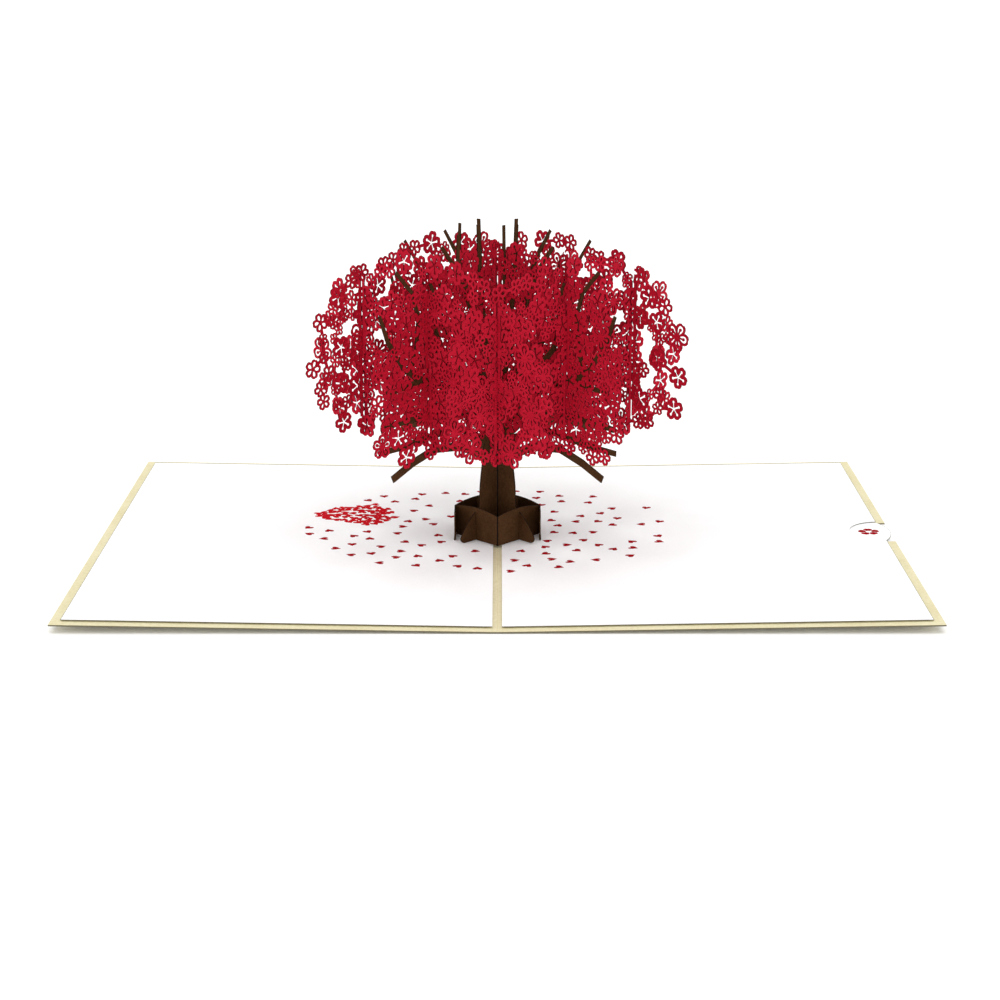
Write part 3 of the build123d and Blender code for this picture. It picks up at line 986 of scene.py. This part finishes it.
class CARD_OT_printed_pages(bpy.types.Operator):
    """Make the two white pages with their printed hearts"""
    bl_idname = "card.printed_pages"
    bl_label = "Printed Pages"

    def execute(self, context):
        card = on_plan(context.scene.card_sizes)
        sizes = on_plan(context.scene.print_sizes)
        hearts = heart_places(sizes, on_plan(context.scene.lace_sizes).tree_y)
        half = card.page_depth / 2
        far = card.page_width
        beside = card.slit_width / 2
        along = card.slit_length / 2
        slit = box_loop(card.slit_x - beside, card.slit_x + beside, card.slit_y - along, card.slit_y + along)
        for side, node in ((-1, "left_panel"), (1, "right_panel")):
            loops = [box_loop(0, far, -half, half),
                     slit,
                     # Thin bands along the outer, front and back edges take the edge colour: painted shade
                     # lines along the page's edges.
                     box_loop(far - card.scorch, far, -half, half),
                     box_loop(0, far, -half, card.scorch - half),
                     box_loop(0, far, half - card.back_scorch, half)]
            roles = ["sheet", "gap", "scorch", "scorch", "scorch"]
            if side > 0:
                loops.append(ring_loop(far, card.notch_y, card.notch_radius, NOTCH_STEPS))
                roles.append("gap")
            for x, y, turn, ink in hearts:
                if x * side > 0:
                    loops.append(heart_loop(side * x - card.spine_flat / 2, y, sizes.heart, turn))
                    roles.append(ink)
            lay_sheet(card, side, node, loops, roles, card.page_floor, card.page)
        return {"FINISHED"}


class CARD_OT_marked_note(bpy.types.Operator):
    """Make the pull-out note with a small blossom printed on its tab"""
    bl_idname = "card.marked_note"
    bl_label = "Marked Note"

    def execute(self, context):
        card = on_plan(context.scene.card_sizes)
        middle = card.notch_y
        start = card.note_start + card.note_corner
        end = card.note_end - card.note_corner
        half = card.note_depth / 2 - card.note_corner
        slip = []
        for x, y, first in ((end, middle + half, 0), (start, middle + half, 1), (start, middle - half, 2),
                            (end, middle - half, 3)):
            for k in range(CORNER_STEPS + 1):
                way = math.pi / 2 * (first + k / CORNER_STEPS)
                slip.append((x + card.note_corner * math.cos(way), y + card.note_corner * math.sin(way)))
        rise = card.tab_end - card.page_width
        radius = (card.notch_radius ** 2 + rise ** 2) / (2 * rise)
        swing = math.asin(card.notch_radius / radius)
        centre = card.tab_end - radius
        # A thin band round the tip of the tab takes the edge colour: a painted shade line that outlines the
        # tab.
        inner = radius - card.scorch
        ways = [swing * (k / TAB_STEPS - 1) for k in range(2 * TAB_STEPS + 1)]
        tip = [(centre + radius * math.cos(way), middle + radius * math.sin(way)) for way in ways]
        inner_tip = [(centre + inner * math.cos(way), middle + inner * math.sin(way)) for way in ways]
        tab = [(end, middle - card.notch_radius), *tip, (end, middle + card.notch_radius)]
        at = card.page_width - MARK_INSET
        loops = [slip, tab, tip + inner_tip[::-1], petal_loop(at, middle, MARK_RADIUS, MARK_TURN),
                 ring_loop(at, middle, MARK_EYE, 16)]
        for k in range(5):
            loops.append(drop_loop(at, middle, MARK_TURN + math.tau * (k + 0.5) / 5, *MARK_CLEFT, 6))
        roles = ["sheet", "sheet", "scorch", "print", "bare"] + ["bare"] * 5
        lay_sheet(card, 1, "pull_out_note", loops, roles, card.cover, card.note)
        return {"FINISHED"}


def lay_sheet(card, side, node, loops, roles, floor, thickness):
    """Cuts a printed sheet flat, lays it on its leaf and gives it its thickness."""
    points, triangles, sources = overlay(loops)
    kept = []
    slots = []
    for triangle, origin in zip(triangles, sources):
        named = {roles[k] for k in origin}
        if "gap" in named or "sheet" not in named:
            continue
        kept.append(triangle if side > 0 else triangle[::-1])
        marks = [mark for mark in MARK_SLOTS if mark in named and "bare" not in named]
        slots.append(MARK_SLOTS[marks[0]] if marks else PAPER_SLOT)
    flat, kept = used_points(points, kept)
    lift = card.leaf_lift
    top = floor + thickness
    placed = []
    for x, y in flat:
        out = card.spine_flat / 2 + x * math.cos(lift) - top * math.sin(lift)
        placed.append((side * out * MM, y * MM, (x * math.sin(lift) + top * math.cos(lift)) * MM))
    is_note = node == "pull_out_note"
    paper = finish(note_paper if is_note else white_page)
    edge = finish(page_cut_edge)
    piece = new_piece(f"printed_{node}", placed, kept, slots,
                      [finish(printed_red), paper, paper, edge, paper, edge, finish(printed_heap_red), paper])
    thicken(piece, thickness * MM, -1.0, 1, 2)
    adopt(piece, "note" if is_note else "card", node)


class CARD_OT_stage(bpy.types.Operator):
    """Set the pale floor, the soft light and the camera"""
    bl_idname = "card.stage"
    bl_label = "Stage"

    def execute(self, context):
        scene = context.scene
        self.make_floor()
        self.make_world(scene)
        self.make_sun(scene)
        self.make_camera(scene)
        scene.view_settings.view_transform = "Standard"
        return {"FINISHED"}

    def make_floor(self):
        """A wide pale sheet under the card."""
        bpy.ops.object.select_all(action="DESELECT")
        bpy.ops.mesh.primitive_plane_add(size=FLOOR_WIDTH, location=(0, 0, FLOOR_Z))
        floor = bpy.context.object
        floor.name = "floor"
        material = bpy.data.materials.new("pale_floor")
        material.use_nodes = True
        tree = material.node_tree
        shader = tree.nodes["Principled BSDF"]
        shader.inputs["Roughness"].default_value = 0.9
        shader.inputs["Specular IOR Level"].default_value = 0.1
        path = add_node(tree, "ShaderNodeLightPath")
        tones = {MIX_COLOUR_A: linear(FLOOR_LIT), MIX_COLOUR_B: linear(FLOOR_SEEN)}
        tone = add_node(tree, "ShaderNodeMix", {"data_type": "RGBA", **tones},
                        {"Factor": path.outputs["Is Camera Ray"]})
        tree.links.new(tone.outputs[MIX_COLOUR_OUT], shader.inputs["Base Color"])
        glow = add_node(tree, "ShaderNodeMath", {"operation": "MULTIPLY", 1: FLOOR_GLOW},
                        {0: path.outputs["Is Camera Ray"]})
        shader.inputs["Emission Color"].default_value = (1, 1, 1, 1)
        tree.links.new(glow.outputs[0], shader.inputs["Emission Strength"])
        floor.data.materials.append(material)

    def make_world(self, scene):
        """White to the eye; as light, brighter at the horizon than overhead."""
        stage = scene.stage_sizes
        world = bpy.data.worlds.new("studio_white")
        world.use_nodes = True
        tree = world.node_tree
        tree.nodes.clear()
        path = add_node(tree, "ShaderNodeLightPath")
        seen = add_node(tree, "ShaderNodeMath", {"operation": "MAXIMUM"},
                        {0: path.outputs["Is Camera Ray"], 1: path.outputs["Is Glossy Ray"]})
        seen = add_node(tree, "ShaderNodeMath", {"operation": "MAXIMUM"},
                        {0: seen.outputs[0], 1: path.outputs["Is Transmission Ray"]})
        height = add_node(tree, "ShaderNodeSeparateXYZ", (),
                          {"Vector": add_node(tree, "ShaderNodeTexCoord").outputs["Generated"]})
        sky = add_node(tree, "ShaderNodeMapRange",
                       {"From Min": 0.0, "From Max": 1.0, "To Min": stage.sky_low, "To Max": stage.sky_high},
                       {"Value": height.outputs["Z"]})
        level = add_node(tree, "ShaderNodeMix", {MIX_B: 1.0},
                         {"Factor": seen.outputs[0], MIX_A: sky.outputs["Result"]})
        glow = add_node(tree, "ShaderNodeBackground", {"Color": (1, 1, 1, 1)}, {"Strength": level.outputs[0]})
        add_node(tree, "ShaderNodeOutputWorld", (), {"Surface": glow.outputs["Background"]})
        scene.world = world

    def make_sun(self, scene):
        """A far, wide softbox overhead: even light with a soft shadow."""
        data = bpy.data.lights.new("overhead_softbox", "SUN")
        data.energy = scene.stage_sizes.sun
        data.angle = scene.stage_sizes.sun_spread
        lamp = bpy.data.objects.new("overhead_softbox", data)
        lamp.rotation_mode = "QUATERNION"
        lamp.rotation_quaternion = Vector(SUN_TOWARD).to_track_quat("Z", "Y")
        scene.collection.objects.link(lamp)

    def make_camera(self, scene):
        """The camera in front of the card, looking down on it a little."""
        stage = scene.stage_sizes
        data = bpy.data.cameras.new("camera")
        data.sensor_width = 36.0
        data.lens = stage.lens
        data.clip_start = 0.01
        camera = bpy.data.objects.new("camera", data)
        camera.location = (stage.camera_side, -stage.camera_back, stage.camera_up)
        camera.rotation_euler = (math.pi / 2 - stage.pitch, 0, 0)
        scene.collection.objects.link(camera)
        scene.camera = camera


class CARD_PT_sidebar(bpy.types.Panel):
    """Sizes, colours and steps of the card"""
    bl_label = "Pop Up Card"
    bl_idname = "CARD_PT_sidebar"
    bl_space_type = "VIEW_3D"
    bl_region_type = "UI"
    bl_category = "Pop Up Card"

    def draw(self, context):
        layout = self.layout
        for operator in OPERATORS:
            layout.operator(operator.bl_idname)
        for name in SETTINGS:
            group = getattr(context.scene, name)
            box = layout.box()
            box.label(text=name.replace("_", " ").capitalize())
            for prop in settings_of(group):
                box.prop(group, prop.identifier)


SETTINGS = {"card_sizes": CardSizes, "lace_sizes": LaceSizes, "print_sizes": PrintSizes,
            "card_colours": CardColours, "stage_sizes": StageSizes}
OPERATORS = (CARD_OT_paper_finishes, CARD_OT_blossom_lace, CARD_OT_printed_pages, CARD_OT_marked_note,
             CARD_OT_stage)


def register():
    for group in SETTINGS.values():
        bpy.utils.register_class(group)
    for name, group in SETTINGS.items():
        setattr(bpy.types.Scene, name, PointerProperty(type=group))
    for operator in (*OPERATORS, CARD_PT_sidebar):
        bpy.utils.register_class(operator)


def unregister():
    for operator in (CARD_PT_sidebar, *OPERATORS):
        bpy.utils.unregister_class(operator)
    for name, group in SETTINGS.items():
        delattr(bpy.types.Scene, name)
        bpy.utils.unregister_class(group)


def main():
    register()
    bpy.ops.card.paper_finishes()
    bpy.ops.card.blossom_lace()
    bpy.ops.card.printed_pages()
    bpy.ops.card.marked_note()
    bpy.ops.card.stage()


if __name__ == "__main__":
    main()
